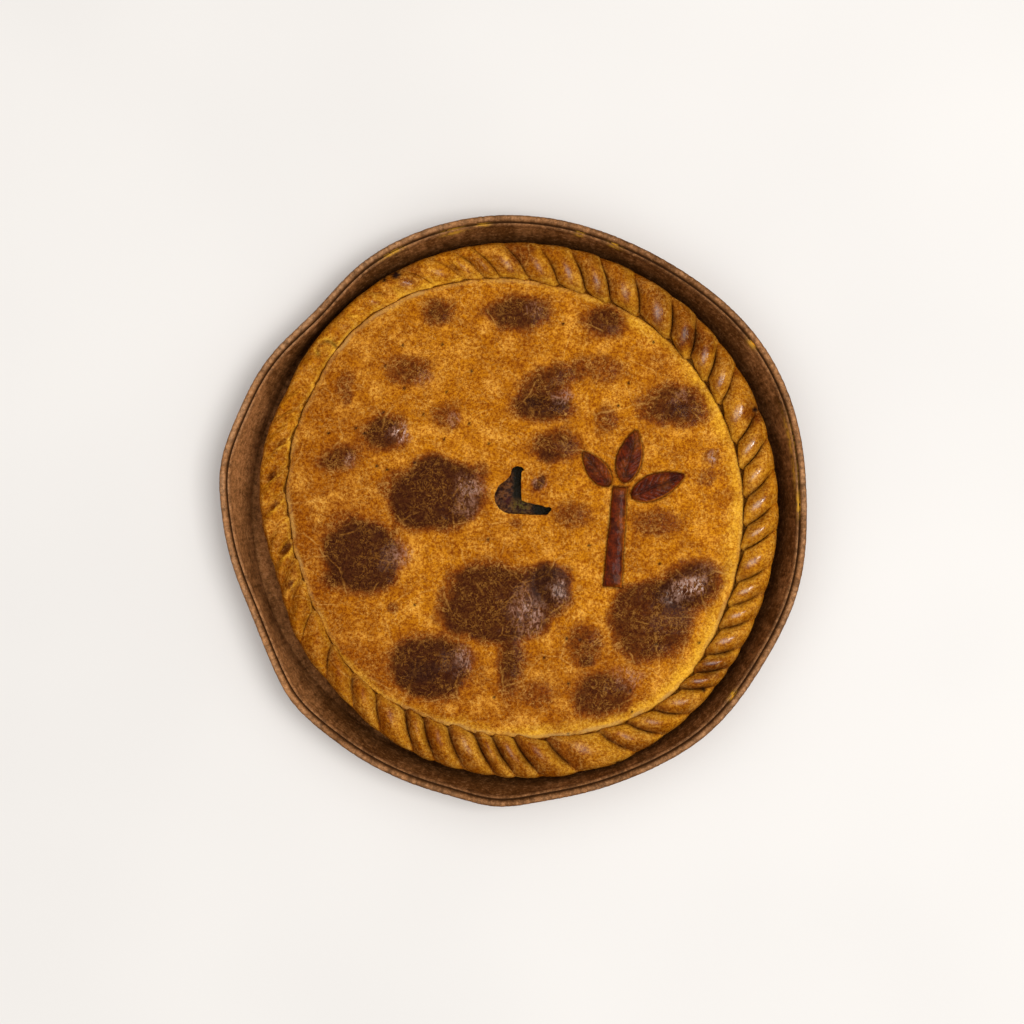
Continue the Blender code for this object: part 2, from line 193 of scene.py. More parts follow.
# Colours, linear
GOLD = (0.43, 0.137, 0.002)
AMBER = (0.245, 0.060, 0.001)
TAN = (0.68, 0.28, 0.030)
YELLOW = (0.80, 0.40, 0.026)
BROWN = (0.045, 0.009, 0.001)
CHESTNUT = (0.175, 0.037, 0.001)
# Painted shade, laid in creases, pits, the crack by the lid and along the sprig's edge
CREVICE = (0.062, 0.019, 0.003)
# Burnt black, also used as painted shade in the fork pricks
BLACKENED = (0.016, 0.005, 0.003)
SHEEN_PINK = (0.29, 0.125, 0.064)
CRACK_GOLD = (0.28, 0.098, 0.009)
CRACK_PALE = (0.72, 0.40, 0.09)
CRUMB = (0.46, 0.27, 0.09)
KRAFT = (0.40, 0.165, 0.052)
# Kraft dark with grease, also painted as shade on the tray's wall
KRAFT_SOAKED = (0.125, 0.042, 0.008)
KRAFT_FIBRE = (0.52, 0.27, 0.12)
# The rim's paler kraft, partly painted light
KRAFT_RIM = (0.38, 0.19, 0.085)
# Painted shade under the rim's bead, at the foot and in the pleats
KRAFT_FOLD = (0.05, 0.018, 0.005)
GREASE = (0.72, 0.37, 0.03)
SAUCE_DARK = (0.020, 0.005, 0.002)
SAUCE = (0.14, 0.048, 0.012)
PEPPER_RED = (0.045, 0.004, 0.004)
PEPPER_GREEN = (0.085, 0.070, 0.008)
# Painted shade under the vent's slit
SLIT_DARK = (0.006, 0.006, 0.002)
GLAZE_DARK = (0.040, 0.005, 0.001)
GLAZE_RED = (0.110, 0.013, 0.001)
# Golden strip edges, painted lighter on the edge toward the light
GLAZE_EDGE = (0.40, 0.115, 0.006)
# Burnt underside of the strips, and painted shade in the leaves' grooves
GLAZE_BURNT = (0.022, 0.005, 0.002)
TABLE_DIM = (0.715, 0.697, 0.680)
TABLE_PALE = (0.750, 0.731, 0.712)
# How the fine grain of the baked skin changes its colour at its darkest and lightest
GRAIN_DARK = (0.56, 0.37, 0.05)
GRAIN_LIGHT = (1.42, 1.68, 2.20)


def unit(value):
    """A value kept between 0 and 1."""
    return np.clip(value, 0.0, 1.0)


def bell(value, middle, spread):
    """1 where the value is in the middle, and less away from it."""
    return np.exp(-((value - middle) / spread) ** 2)


def smoothstep(low, high, value):
    """0 below low, 1 above high, and a smooth ramp between."""
    step = unit((value - low) / (high - low))
    return step * step * (3.0 - 2.0 * step)


def fade(low, high, value):
    """1 below low, 0 above high, and a smooth ramp between."""
    return 1.0 - smoothstep(low, high, value)


def bearing(x, y):
    """The angle at which a place lies round the centre."""
    return np.degrees(np.arctan2(y, x))


def turned_from(at, angle):
    """How far an angle is turned from another, the short way round."""
    return (np.asarray(angle) - at + 180.0) % 360.0 - 180.0


def along_across(x, y, foot, heading):
    """How far a place is along a heading from its foot, and how far to the left of it."""
    turn = math.radians(heading)
    right = x - foot[0]
    up = y - foot[1]
    return right * math.cos(turn) + up * math.sin(turn), up * math.cos(turn) - right * math.sin(turn)


def noise(x, y, size, seed):
    """Smooth noise between -1 and 1 that changes over about the given size."""
    cells = 256
    lattice = np.random.default_rng(seed).uniform(-1.0, 1.0, (cells, cells))
    across = np.asarray(x, float) / size
    up = np.asarray(y, float) / size
    left = np.floor(across).astype(int)
    low = np.floor(up).astype(int)
    fx = across - left
    fy = up - low
    fx = fx * fx * (3.0 - 2.0 * fx)
    fy = fy * fy * (3.0 - 2.0 * fy)
    first = lattice[left % cells, low % cells] * (1 - fx) + lattice[(left + 1) % cells, low % cells] * fx
    last = (lattice[left % cells, (low + 1) % cells] * (1 - fx)
            + lattice[(left + 1) % cells, (low + 1) % cells] * fx)
    return first * (1 - fy) + last * fy


def rough(x, y, size, seed, octaves=3):
    """Noise with finer noise added at each octave."""
    total = np.zeros(np.broadcast(x, y).shape)
    share = 1.0
    for octave in range(octaves):
        total += share * noise(x, y, size / 2 ** octave, seed + octave)
        share *= 0.5
    return total


def swell(angle, base, changes):
    """A base value changed by smooth humps or dents: each is (angle, amount, spread)."""
    total = np.full(np.shape(angle), float(base))
    for at, amount, spread in changes:
        total += amount * np.exp(-0.5 * (turned_from(at, angle) / spread) ** 2)
    return total


def crust_radius(angle):
    return swell(angle, CRUST_RADIUS, CRUST_BULGES)


def groove_radius(angle):
    return swell(angle, GROOVE_RADIUS, GROOVE_BULGES)


def seam_wander(angle):
    """How far the torn seam between lid and rope wanders from the groove."""
    turn = np.radians(angle)
    wide = noise(60.0 * np.cos(turn), 60.0 * np.sin(turn), 5.0, 35)
    fine = noise(60.0 * np.cos(turn), 60.0 * np.sin(turn), 1.6, 36)
    return (0.9 * wide + 0.4 * fine) * swell(angle, 0.35, ((165, 1.0, 30), (262, 0.6, 25)))


def tray_radius(angle):
    return swell(angle, TRAY_RADIUS, TRAY_DENTS)


def patch(x, y, shape, raggedness, seed):
    """How far a place is from an ellipse's centre: 1 is its edge, which is made ragged."""
    *centre, half_length, half_width, tilt = shape
    along, across = along_across(x, y, centre, tilt)
    ragged = 1.0 + raggedness * rough(x, y, 0.7 * min(half_length, half_width), seed)
    return np.hypot(along / half_length, across / half_width) * ragged


def blister_height(x, y):
    """How far the blisters lift the lid."""
    lift = np.zeros(np.shape(x))
    for number, (*shape, height, _dark) in enumerate(BLISTERS):
        reach = patch(x, y, shape, 0.10, 40 + number)
        lift = np.maximum(lift, height * unit(1.0 - reach ** 2) ** 1.5)
    return lift


def browning(x, y):
    """How dark the lid is baked, from 0 to 1."""
    gold = np.ones(np.shape(x))
    for number, (*shape, _height, dark) in enumerate(BLISTERS):
        reach = patch(x, y, shape, 0.14, 80 + number)
        soft = min(BLISTER_FADE / min(shape[2:4]), 0.7)
        gold *= 1.0 - min(1.12 * dark, 0.95) * fade(1.0 - 0.9 * soft, 1.0 + 0.8 * soft, reach)
    for number, (*shape, dark) in enumerate(BROWNED):
        gold *= 1.0 - dark * fade(0.4, 1.1, patch(x, y, shape, 0.3, 140 + number))
    return 1.0 - gold


def wrinkling(x, y):
    """Where the skin has wrinkles and a painted pale sheen, from 0 to 1."""
    most = np.zeros(np.shape(x))
    for number, (*shape, amount) in enumerate(WRINKLED):
        most = np.maximum(most, amount * fade(0.45, 1.1, patch(x, y, shape, 0.3, 180 + number)))
    return most


def prick_depth(x, y):
    """How deep the fork pricks are, from 0 to 1."""
    depth = np.zeros(np.shape(x))
    for prick_x, prick_y in PRICKS:
        reach = np.hypot(x - prick_x, y - prick_y) / PRICK_RADIUS
        depth = np.maximum(depth, fade(0.3, 1.2, reach))
    return depth


def inside_lid(x, y):
    """How far inside the lid's edge a place is."""
    angle = bearing(x, y)
    return groove_radius(angle) + seam_wander(angle) - LID_EDGE_GAP - np.hypot(x, y)


def lid_height(x, y):
    """The height of the lid's top surface."""
    plateau = 1.0 - np.exp(-np.maximum(inside_lid(x, y), 0.0) / LID_SLOPE)
    swelling = LID_SWELL * noise(x, y, 40.0, 5) + 0.32 * rough(x, y, 11.0, 6)
    wrinkles = 0.4 * wrinkling(x, y) ** 2 * noise(x + 0.35 * y, 0.4 * y, 2.8, 7)
    pits = 0.7 * prick_depth(x, y)
    return LID_EDGE_TOP + plateau * (LID_RISE + swelling + blister_height(x, y) + wrinkles - pits)


def on_circle(radius, angle, height):
    """Points from radius, angle and height, as an array whose last axis is x, y, z."""
    turn = np.radians(angle)
    radius, turn, height = np.broadcast_arrays(radius, turn, height)
    return np.stack((radius * np.cos(turn), radius * np.sin(turn), height), axis=-1)


def smooth_rows(rows, count):
    """Reads a curve through the rows at count even steps, column by column."""
    rows = np.asarray(rows, float)
    ends = np.vstack((2 * rows[0] - rows[1], rows, 2 * rows[-1] - rows[-2]))
    at = np.linspace(0.0, len(rows) - 1.0, count)
    first = np.minimum(at.astype(int), len(rows) - 2)
    t = (at - first)[:, None]
    a, b, c, d = (ends[first + step] for step in range(4))
    square = (2 * a - 5 * b + 4 * c - d) * t ** 2
    cube = (3 * b - a - 3 * c + d) * t ** 3
    return 0.5 * (2 * b + (c - a) * t + square + cube)


def new_object(name, points, faces, sharp=None):
    """A smooth mesh object from points in millimetres."""
    mesh = bpy.data.meshes.new(name)
    mesh.from_pydata(np.asarray(points).reshape(-1, 3) * MM, [], faces)
    mesh.update()
    mesh.shade_smooth()
    if sharp:
        mesh.set_sharp_from_angle(angle=math.radians(sharp))
    made = bpy.data.objects.new(name, mesh)
    bpy.context.scene.collection.objects.link(made)
    return made


def ring_faces(sections, rows):
    """Quads between the rows of a closed ring, and a cap over its first and last row."""
    first = rows * np.arange(sections)
    here = first[:, None] + np.arange(rows - 1)
    after = np.roll(here, -1, axis=0)
    quads = np.stack((here, here + 1, after + 1, after), axis=-1).reshape(-1, 4)
    return quads.tolist() + [first.tolist(), (first + rows - 1)[::-1].tolist()]


def border(index):
    """The numbers round the edge of a grid, in order."""
    return np.concatenate((index[:-1, 0], index[-1, :-1], index[:0:-1, -1], index[0, :0:-1]))


def places(piece):
    """The x, y and z of a piece's points, in millimetres."""
    mesh = piece.data
    flat = np.empty(len(mesh.vertices) * 3)
    mesh.vertices.foreach_get("co", flat)
    return (flat.reshape(-1, 3) / MM).T


def paint(piece, **layers):
    """Stores a number for each point of a piece in every layer, for its material to read."""
    for name, values in layers.items():
        numbers = np.empty(len(piece.data.vertices), np.float32)
        numbers[:] = np.ravel(values)
        piece.data.attributes.new(name, "FLOAT", "POINT").data.foreach_set("value", numbers)


class Shader:
    """A material's node tree, with short calls for the nodes used here."""

    def __init__(self, name):
        self.material = bpy.data.materials.new(name)
        self.material.use_nodes = True
        self.tree = self.material.node_tree
        self.surface = self.tree.nodes["Principled BSDF"]
        self.place = self.node("TexCoord", "Object", {})

    def node(self, kind, output, inputs, **settings):
        """Adds a node, feeds its inputs and returns one of its outputs."""
        made = self.tree.nodes.new("ShaderNode" + kind)
        for key, value in settings.items():
            setattr(made, key, value)
        for key, value in inputs.items():
            self.feed(made.inputs[key], value)
        return made.outputs[output]

    def feed(self, socket, value):
        """Gives a socket a value, another node's output, or a painted layer by its name."""
        if isinstance(value, str):
            value = self.node("Attribute", "Fac", {}, attribute_name=value)
        if isinstance(value, bpy.types.NodeSocket):
            self.tree.links.new(value, socket)
        elif isinstance(value, tuple) and socket.type == "RGBA":
            socket.default_value = (*value, 1.0)
        else:
            socket.default_value = value

    def math(self, operation, first, second=0.0, clamp=False):
        return self.node("Math", 0, {0: first, 1: second}, operation=operation, use_clamp=clamp)

    def times(self, first, second):
        return self.math("MULTIPLY", first, second)

    def most(self, first, second):
        return self.math("MAXIMUM", first, second)

    def less(self, first, second):
        return self.math("SUBTRACT", first, second)

    def ramp(self, value, low, high, to_low=0.0, to_high=1.0):
        inputs = {"Value": value, "From Min": low, "From Max": high, "To Min": to_low, "To Max": to_high}
        return self.node("MapRange", "Result", inputs, interpolation_type="SMOOTHSTEP")

    def mix(self, factor, first, second, blend="MIX"):
        inputs = {"Factor": factor, "A": first, "B": second}
        return self.node("Mix", "Result", inputs, data_type="RGBA", blend_type=blend)

    def coats(self, colour, *layers):
        """A colour with others laid over it in turn: each is how much of it shows, and the colour."""
        for amount, over in layers:
            colour = self.mix(amount, colour, over)
        return colour

    def noise(self, size, detail=3.0, roughness=0.55, stretch=None, distortion=0.0):
        """Noise with features of about the given size in millimetres, centred on 0.5."""
        place = self.place
        if stretch:
            place = self.node("VectorMath", 0, {0: place, 1: stretch}, operation="MULTIPLY")
        inputs = {"Vector": place, "Scale": 1.0 / (size * MM), "Detail": detail, "Roughness": roughness}
        return self.node("TexNoise", "Fac", {**inputs, "Distortion": distortion})

    def contours(self, size, width):
        """Thin curly lines, where noise passes its middle value: 1 on a line, 0 between."""
        away = self.math("ABSOLUTE", self.less(self.noise(size, 2.0, 0.5, distortion=0.9), 0.5))
        return self.ramp(away, 0.0, width, 1.0, 0.0)

    def scale(self, colour, amount):
        """A colour made darker or lighter."""
        return self.node("VectorMath", 0, {0: colour, "Scale": amount}, operation="SCALE")

    def cracks(self, size, width, wander):
        """A net of fine lines round cells of the given size: 1 on a line, 0 between."""
        inputs = {"Vector": self.place, "Scale": 0.7 / (size * MM), "Detail": 3.0}
        inputs = {0: self.node("TexNoise", "Color", inputs), 1: (wander * MM,) * 3, 2: self.place}
        moved = self.node("VectorMath", 0, inputs, operation="MULTIPLY_ADD")
        away = self.node("TexVoronoi", "Distance", {"Vector": moved, "Scale": 1.0 / (size * MM)},
                         feature="DISTANCE_TO_EDGE", voronoi_dimensions="2D")
        return self.ramp(away, 0.0, width / size, 1.0, 0.0)

    def bump(self, height, distance, strength, normal=None):
        inputs = {"Strength": strength, "Distance": distance * MM, "Height": height}
        return self.node("Bump", "Normal", {**inputs, "Normal": normal} if normal else inputs)

    def finish(self, **inputs):
        for key, value in inputs.items():
            self.feed(self.surface.inputs[key.replace("_", " ")], value)
        return self.material


def crack_net(shader):
    """The net of fine golden cracks, and a few long seams between them."""
    net = shader.most(shader.contours(4.4, 0.045), shader.times(shader.contours(2.6, 0.05), 0.6))
    net = shader.times(net, shader.ramp(shader.noise(9.0, 2.0), 0.36, 0.56, 0.15, 1.0))
    here = shader.ramp(shader.noise(16.0, 2.0), 0.48, 0.58)
    return shader.most(net, shader.times(shader.cracks(24.0, 0.9, 18.0), here))


def crust_material():
    """Egg-washed dough: mottled gold, dark blisters with a net of golden cracks, pale edges, and painted
    sheen, light and shade.
    """
    shader = Shader("baked crust")
    mix, ramp, times, less = shader.mix, shader.ramp, shader.times, shader.less
    mottle = shader.noise(13.0, 4.0, 0.55)
    speckle = shader.noise(1.9, 3.0, 0.95)
    streaks = shader.noise(3.0, 2.5, 0.6, stretch=(1.0, 0.5, 1.0), distortion=1.6)
    ragged = times(less(shader.noise(3.0, 3.0, 0.7), 0.5), 2.7)
    ragged = times(ragged, times("brown", less(1.0, "brown")))
    # The brown layer, which on the rope also holds painted shade on flanks turned from the light and in pits
    baked = shader.math("ADD", "brown", ragged, clamp=True)
    net = crack_net(shader)
    colour = shader.coats(
        GOLD, ("amber", AMBER), (ramp(mottle, 0.48, 0.70, 0.0, 0.50), TAN),
        (ramp(mottle, 0.30, 0.52, 0.66, 0.0), AMBER), ("pale", YELLOW),
        (ramp(baked, 0.0, 0.55), CHESTNUT), (ramp(baked, 0.42, 1.0), BROWN),
        (times(net, ramp(baked, 0.1, 0.7, 0.22, 0.50)), mix(baked, CRACK_PALE, CRACK_GOLD)),
        # Painted sheen: pale pink streaks where a blister's wrinkles catch the light
        (times("wrinkled", ramp(streaks, 0.44, 0.58, 0.08, 0.95)), SHEEN_PINK),
        # Burnt specks with painted shade in the pricks, then painted shade in creases and cracks
        ("burnt", BLACKENED), ("fold", CREVICE))
    grain = mix(ramp(speckle, 0.35, 0.65), GRAIN_DARK, GRAIN_LIGHT)
    colour = mix(less(1.0, times("pale", 0.5)), colour, grain, "MULTIPLY")
    normal = shader.bump(net, 0.18, 0.6, shader.bump(speckle, 0.35, 0.6))
    normal = shader.bump(times(streaks, "wrinkled"), 0.8, 0.7, normal)
    dry = times("wrinkled", ramp(streaks, 0.50, 0.60, 1.0, 0.0))
    gloss = times(shader.most("gloss", times(baked, 0.008)), less(1.0, dry))
    return shader.finish(Base_Color=mix("cut", colour, CRUMB), Roughness=0.65, Normal=normal,
                         Specular_IOR_Level=0.03, Coat_Weight=gloss, Coat_Roughness=0.08, Coat_IOR=2.3,
                         Coat_Normal=shader.bump(streaks, 0.22, 0.6))


def paper_material():
    """Pressed kraft paper: fibres, a darker wall darkened by grease and painted shade, a rim paler partly as
    painted light, painted shade under the bead and in crimps, and bright spots of grease.
    """
    shader = Shader("kraft paper")
    fibres = shader.noise(2.8, 4.0, 0.95)
    cloud = shader.ramp(shader.noise(9.0, 3.0), 0.3, 0.7, -0.20, 0.24)
    soaked = shader.math("ADD", "soaked", cloud, clamp=True)
    # Grease and painted shade darken the wall; the rim is paler, partly as painted light
    colour = shader.coats(KRAFT, (soaked, KRAFT_SOAKED), ("rim", KRAFT_RIM),
                          (shader.ramp(fibres, 0.52, 0.72, 0.0, 0.5), KRAFT_FIBRE))
    colour = shader.scale(colour, shader.ramp(fibres, 0.32, 0.62, 0.38, 1.25))
    greasy = shader.times("grease", shader.ramp(shader.noise(2.5, 3.0), 0.35, 0.55))
    colour = shader.coats(colour, ("fold", KRAFT_FOLD), (greasy, GREASE))
    return shader.finish(Base_Color=colour, Roughness=shader.ramp(greasy, 0.0, 1.0, 0.7, 0.35),
                         Normal=shader.bump(fibres, 0.25, 0.5), Specular_IOR_Level=0.06)


def filling_material():
    """Octopus, onion and pepper in an oily sauce, with painted shade under the vent's slits."""
    shader = Shader("octopus filling")
    lumps = shader.noise(2.2, 4.0, 0.7)
    green = shader.times("green", shader.ramp(lumps, 0.42, 0.56))
    colour = shader.coats(SAUCE_DARK, (shader.ramp(lumps, 0.38, 0.64), SAUCE), ("red", PEPPER_RED),
                          (green, PEPPER_GREEN), ("deep", SLIT_DARK))
    return shader.finish(Base_Color=colour, Roughness=0.25, Normal=shader.bump(lumps, 1.2, 0.8),
                         Specular_IOR_Level=0.1)


def glazed_material():
    """Dough strips baked dark red under a thick egg glaze, with golden edges, the one toward the light
    painted lighter, and painted shade in their grooves.
    """
    shader = Shader("glazed dough")
    wide = shader.ramp(shader.noise(6.0, 4.0), 0.35, 0.65)
    fine = shader.noise(1.4, 3.0, 0.7)
    colour = shader.coats(GLAZE_DARK, (wide, GLAZE_RED), ("pale", GLAZE_EDGE), ("burnt", GLAZE_BURNT))
    colour = shader.scale(colour, shader.ramp(fine, 0.34, 0.66, 0.65, 1.4))
    return shader.finish(Base_Color=colour, Roughness=0.4, Normal=shader.bump(fine, 0.16, 0.5),
                         Specular_IOR_Level=0.03, Coat_Weight=0.06, Coat_Roughness=0.1)


def dress(piece, node, material):
    """Gives a piece its material and lets it stand for a node of the frame."""
    piece.data.materials.clear()
    piece.data.materials.append(material)
    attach(piece, BODY)
    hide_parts(node)


def square_to_disc(u, v):
    """Maps the square from -1 to 1 evenly onto the unit disc: returns radius and angle."""
    sideways = np.abs(u) > np.abs(v)
    with np.errstate(divide="ignore", invalid="ignore"):
        flat = np.where(sideways, np.degrees(math.pi / 4 * v / u), 90.0 - np.degrees(math.pi / 4 * u / v))
    angle = flat + 180.0 * np.where(sideways, u < 0, v < 0)
    radius = np.maximum(np.abs(u), np.abs(v))
    return radius, np.where(radius > 0, angle, 0.0)


def disc_slab(name, cells, edge, top, bottom, edge_low=None):
    """A disc-like slab: edge(angle) is its radius, top(x, y) its upper surface, and it is flat below."""
    line = np.linspace(-1.0, 1.0, cells + 1)
    u, v = np.meshgrid(line, line, indexing="ij")
    reach, angle = square_to_disc(u, v)
    radius = reach * edge(angle)
    x = radius * np.cos(np.radians(angle))
    y = radius * np.sin(np.radians(angle))
    points = np.stack((x, y, top(x, y)), axis=-1).reshape(-1, 3)
    index = np.arange((cells + 1) ** 2).reshape(cells + 1, cells + 1)
    quads = np.stack((index[:-1, :-1], index[1:, :-1], index[1:, 1:], index[:-1, 1:]), axis=-1).reshape(-1, 4)
    ring = border(index)
    low = points[ring].copy()
    if edge_low:
        x, y = low[:, 0], low[:, 1]
        low[:, :2] *= (edge_low(bearing(x, y)) / np.hypot(x, y))[:, None]
    low[:, 2] = bottom
    below = len(points) + np.arange(len(ring))
    sides = np.stack((ring, below, np.roll(below, -1), np.roll(ring, -1)), axis=-1)
    faces = quads.tolist() + sides.tolist() + [below[::-1].tolist()]
    return new_object(name, np.vstack((points, low)), faces)


def vent_cutter():
    """The vent's outline, smoothed and made a little ragged, as a tall closed prism."""
    outline = smooth_rows(VENT + (VENT[0],), 97)[:-1]
    x, y = outline.T
    x += 0.25 * noise(x, y, 1.3, 21)
    y += 0.25 * noise(x, y, 1.3, 22)
    count = len(outline)
    low, high = LID_UNDERSIDE - 1.0, LID_UNDERSIDE + 14.0
    points = [(*place, z) for z in (low, high) for place in outline]
    order = list(range(count))
    if np.sum(x * np.roll(y, -1) - y * np.roll(x, -1)) < 0:
        order.reverse()
    sides = [(order[n], order[(n + 1) % count], order[(n + 1) % count] + count, order[n] + count)
             for n in range(count)]
    return new_object("vent_cutter", points, sides + [order[::-1], [index + count for index in order]])


def pale_band(x, y):
    """The unbrowned yellow dough beside the groove: broad on the right and below, thin at the upper left."""
    broad = 0.5 + 0.5 * np.cos(np.radians(bearing(x, y) - 335.0))
    width = 2.5 + 10.0 * broad + 3.5 * noise(x, y, 9.0, 31) + 1.2 * noise(x, y, 2.6, 34)
    inside = inside_lid(x, y)
    strength = (0.15 + 0.62 * broad) * (0.8 + 0.6 * noise(x, y, 12.0, 32))
    return strength * fade(0.1, 1.0, inside / np.maximum(width, 1.5)) * smoothstep(-0.6, 1.0, inside)


def amber_tone(x, y):
    """How much deeper the lid's gold is: painted shade deepening it on its left and towards the bottom, and a
    few patches of deeper gold.
    """
    side = 0.26 + 0.66 * smoothstep(-20.0, -130.0, x) - 0.26 * smoothstep(60.0, 115.0, x)
    side = side + 0.5 * smoothstep(-60.0, -105.0, y) * smoothstep(100.0, 40.0, x)
    for patch_x, patch_y, radius, deeper in AMBER_PATCHES:
        side = side + deeper * np.exp(-np.hypot(x - patch_x, y - patch_y) ** 2 / radius ** 2)
    return unit(side + 0.22 * rough(x, y, 45.0, 33, 2))


def rope_gap(angle):
    """How far the rope stands clear of the lid's edge, from 0 to 1."""
    broken = 0.2 * noise(angle * 2.4, 0.0, 7.0, 37)
    return unit(broken + swell(angle, 0.1, ((15, 0.8, 45), (168, 0.5, 14), (335, 0.3, 15))))


def stem_width(t):
    """Half the stem's width, from its foot at 0 to its top at 1."""
    return 0.5 * STEM_WIDTH * (1.0 - 0.25 * t)


def leaf_width(t, width):
    """Half a leaf's width, from its stalk at 0 to its tip at 1."""
    return 0.5 * width * (0.1 + 0.9 * np.sin(math.pi * np.clip(t, 0.001, 0.999) ** 0.8) ** 0.8)


def sprig_strips():
    """The stem and the leaves: name, foot, heading, length, and half the width at a share of the length."""
    run = np.subtract(STEM_TOP, STEM_FOOT)
    heading = math.degrees(math.atan2(run[1], run[0]))
    strips = [("sprig_stem", STEM_FOOT, heading, float(np.hypot(*run)), stem_width)]
    for name, foot, heading, length, width in LEAVES:
        strips.append((name, foot, heading, length, lambda t, width=width: leaf_width(t, width)))
    return strips


def sprig_outline(x, y):
    """The painted shade where the lid's skin meets the sprig's edge, from 0 to 1."""
    line = np.zeros(np.shape(x))
    for _name, foot, heading, length, half_width in sprig_strips():
        along, across = along_across(x, y, foot, heading)
        away = np.maximum(np.abs(across) - half_width(along / length), np.maximum(-along, along - length))
        line = np.maximum(line, np.exp(-np.abs(away / 0.9) ** 2.5))
    return line


def cut_vent(lid):
    """Cuts the vent through the lid."""
    cutter = vent_cutter()
    cut = lid.modifiers.new("vent", "BOOLEAN")
    cut.operation = "DIFFERENCE"
    cut.solver = "EXACT"
    cut.object = cutter
    bpy.context.view_layer.update()
    shape = bpy.data.meshes.new_from_object(lid.evaluated_get(bpy.context.evaluated_depsgraph_get()))
    lid.modifiers.clear()
    lid.data = shape
    shape.name = "lid"
    bpy.data.objects.remove(cutter)
    shape.shade_smooth()
    shape.set_sharp_from_angle(angle=math.radians(LID_SHARP))


def lid_crumb(x, y, z):
    """Where the crumb shows: in the vent's cut faces, and in places along the lid's torn edge."""
    inside = inside_lid(x, y)
    raw = swell(bearing(x, y), 0.0, ((290, 0.8, 40), (122, 0.75, 30), (190, 0.5, 12)))
    raw = raw * (0.6 + 0.7 * noise(x, y, 6.0, 38)) * bell(inside, 1.3, 1.1)
    in_vent = smoothstep(0.15, 0.6, lid_height(x, y) - z)
    return np.where(inside > 4.0, in_vent, np.clip(raw, 0.0, 0.8))


def make_lid(finish):
    """The lid, cut through by the vent."""
    def edge(angle):
        return groove_radius(angle) + seam_wander(angle) - LID_EDGE_GAP

    lid = disc_slab("lid", LID_CELLS, edge, lid_height, LID_UNDERSIDE)
    cut_vent(lid)
    x, y, z = places(lid)
    brown = browning(x, y)
    wrinkled = wrinkling(x, y)
    # Painted shade in the crack between lid and rope and along the sprig's edge
    crack = (0.03 + 0.9 * rope_gap(bearing(x, y))) * fade(-0.1, 0.7, inside_lid(x, y))
    paint(lid, brown=brown, wrinkled=wrinkled,
          # Burnt cores on the darkest blisters, and painted shade in the fork pricks
          burnt=np.maximum(prick_depth(x, y), smoothstep(0.93, 1.0, brown) * 0.5),
          pale=pale_band(x, y), cut=lid_crumb(x, y, z),
          fold=np.maximum(crack, 0.75 * sprig_outline(x, y)),
          gloss=0.17 * smoothstep(0.55, 1.0, wrinkled), amber=amber_tone(x, y))
    dress(lid, "crust_lid", finish)


def strand_grid():
    """For each section of the rope: its crease angle, share of the strand, strand number and width in mm."""
    starts = np.array(CREASES, float)
    widths = (np.roll(starts, -1) - starts) % 360.0
    even = np.arange(SECTIONS_PER_STRAND) / SECTIONS_PER_STRAND
    share = even - 0.12 * np.sin(2.0 * math.pi * even)
    angle = starts[:, None] + widths[:, None] * share
    number = np.repeat(np.arange(len(starts)), SECTIONS_PER_STRAND)
    return angle.ravel(), np.tile(share, len(starts)), number, np.radians(widths)[number] * ROPE_RADIUS


# Each row of the crust's outline: share of the rope's width, offset, height, height where the rope is flat,
# inward relief, upward relief, outward relief, lean, how sharp its creases are, and how much of it lies in
# the crack, which is painted in shade
CRUST_ROWS = (
    (0.00, -7.0, CRUST_FLOOR, CRUST_FLOOR, 0, 0, 0, 0.00, 0.0, 1.0),
    (0.00, -3.0, 20.5, 20.5, 0, 0, 0, 0.00, 0.0, 1.0),
    (0.00, 0.3, 22.0, 22.0, 0.0, 0, 0, 0.00, 0.1, 1.0),
    (0.00, 1.1, 24.9, 24.5, 0.9, 0.1, 0, 0.02, 0.5, 0.75),
    (0.12, 0.0, 27.8, 26.2, 1.0, 0.5, 0, 0.12, 0.9, 0.1),
    (0.30, 0.0, 29.9, 28.0, 0.5, 1.0, 0, 0.28, 1.0, 0.0),
    (0.53, 0.0, 30.1, 28.8, 0.0, 1.2, 0.1, 0.52, 0.9, 0.0),
    (0.76, 0.0, 28.5, 28.1, 0, 0.8, 0.3, 0.80, 0.3, 0.0),
    (0.92, 0.0, 25.7, 25.5, 0, 0.45, 0.4, 0.95, 0.1, 0.0),
    (1.00, -0.2, 20.5, 20.5, 0, 0, 0.45, 1.00, 0.0, 0.0),
    (1.00, -1.2, 12.0, 12.0, 0, 0, 0.3, 1.00, 0.0, 0.0),
    (1.00, -4.2, 4.6, 4.6, 0, 0, 0.1, 1.00, 0.0, 0.0),
    (1.00, -8.0, CRUST_FOOT, CRUST_FOOT, 0, 0, 0, 1.00, 0.0, 0.0))


def curl_line(x, y):
    """The rope's rolled-up end: 1 on its spiral crease, 0 away from it."""
    across = x - CURL_CENTRE[0]
    up = y - CURL_CENTRE[1]
    turn = (np.degrees(np.arctan2(up, across)) - CURL_START) % 360.0
    spiral = CURL_RADIUS * (1.0 - 0.45 * turn / 360.0)
    line = np.exp(-((np.hypot(across, up) - spiral) / 1.1) ** 2)
    return line * smoothstep(0.0, 30.0, turn) * smoothstep(300.0, 240.0, turn)


def rope_pits(x, y, sharp):
    """How deep the pits in the flat part of the rope are, and how high the lip below each stands."""
    pit = np.zeros(x.shape)
    ridge = np.zeros(x.shape)
    for number, (*shape, depth) in enumerate(ROPE_PITS):
        reach = patch(x, y, shape, 0.25, 240 + number)
        pit = np.maximum(pit, depth * fade(0.3, 1.2, reach) * sharp)
        below = -along_across(x, y, shape[:2], shape[4])[1]
        lip = bell(reach, 1.4, 0.35) * smoothstep(0.3, 1.6, below)
        ridge = np.maximum(ridge, depth * lip * sharp)
    return pit, ridge


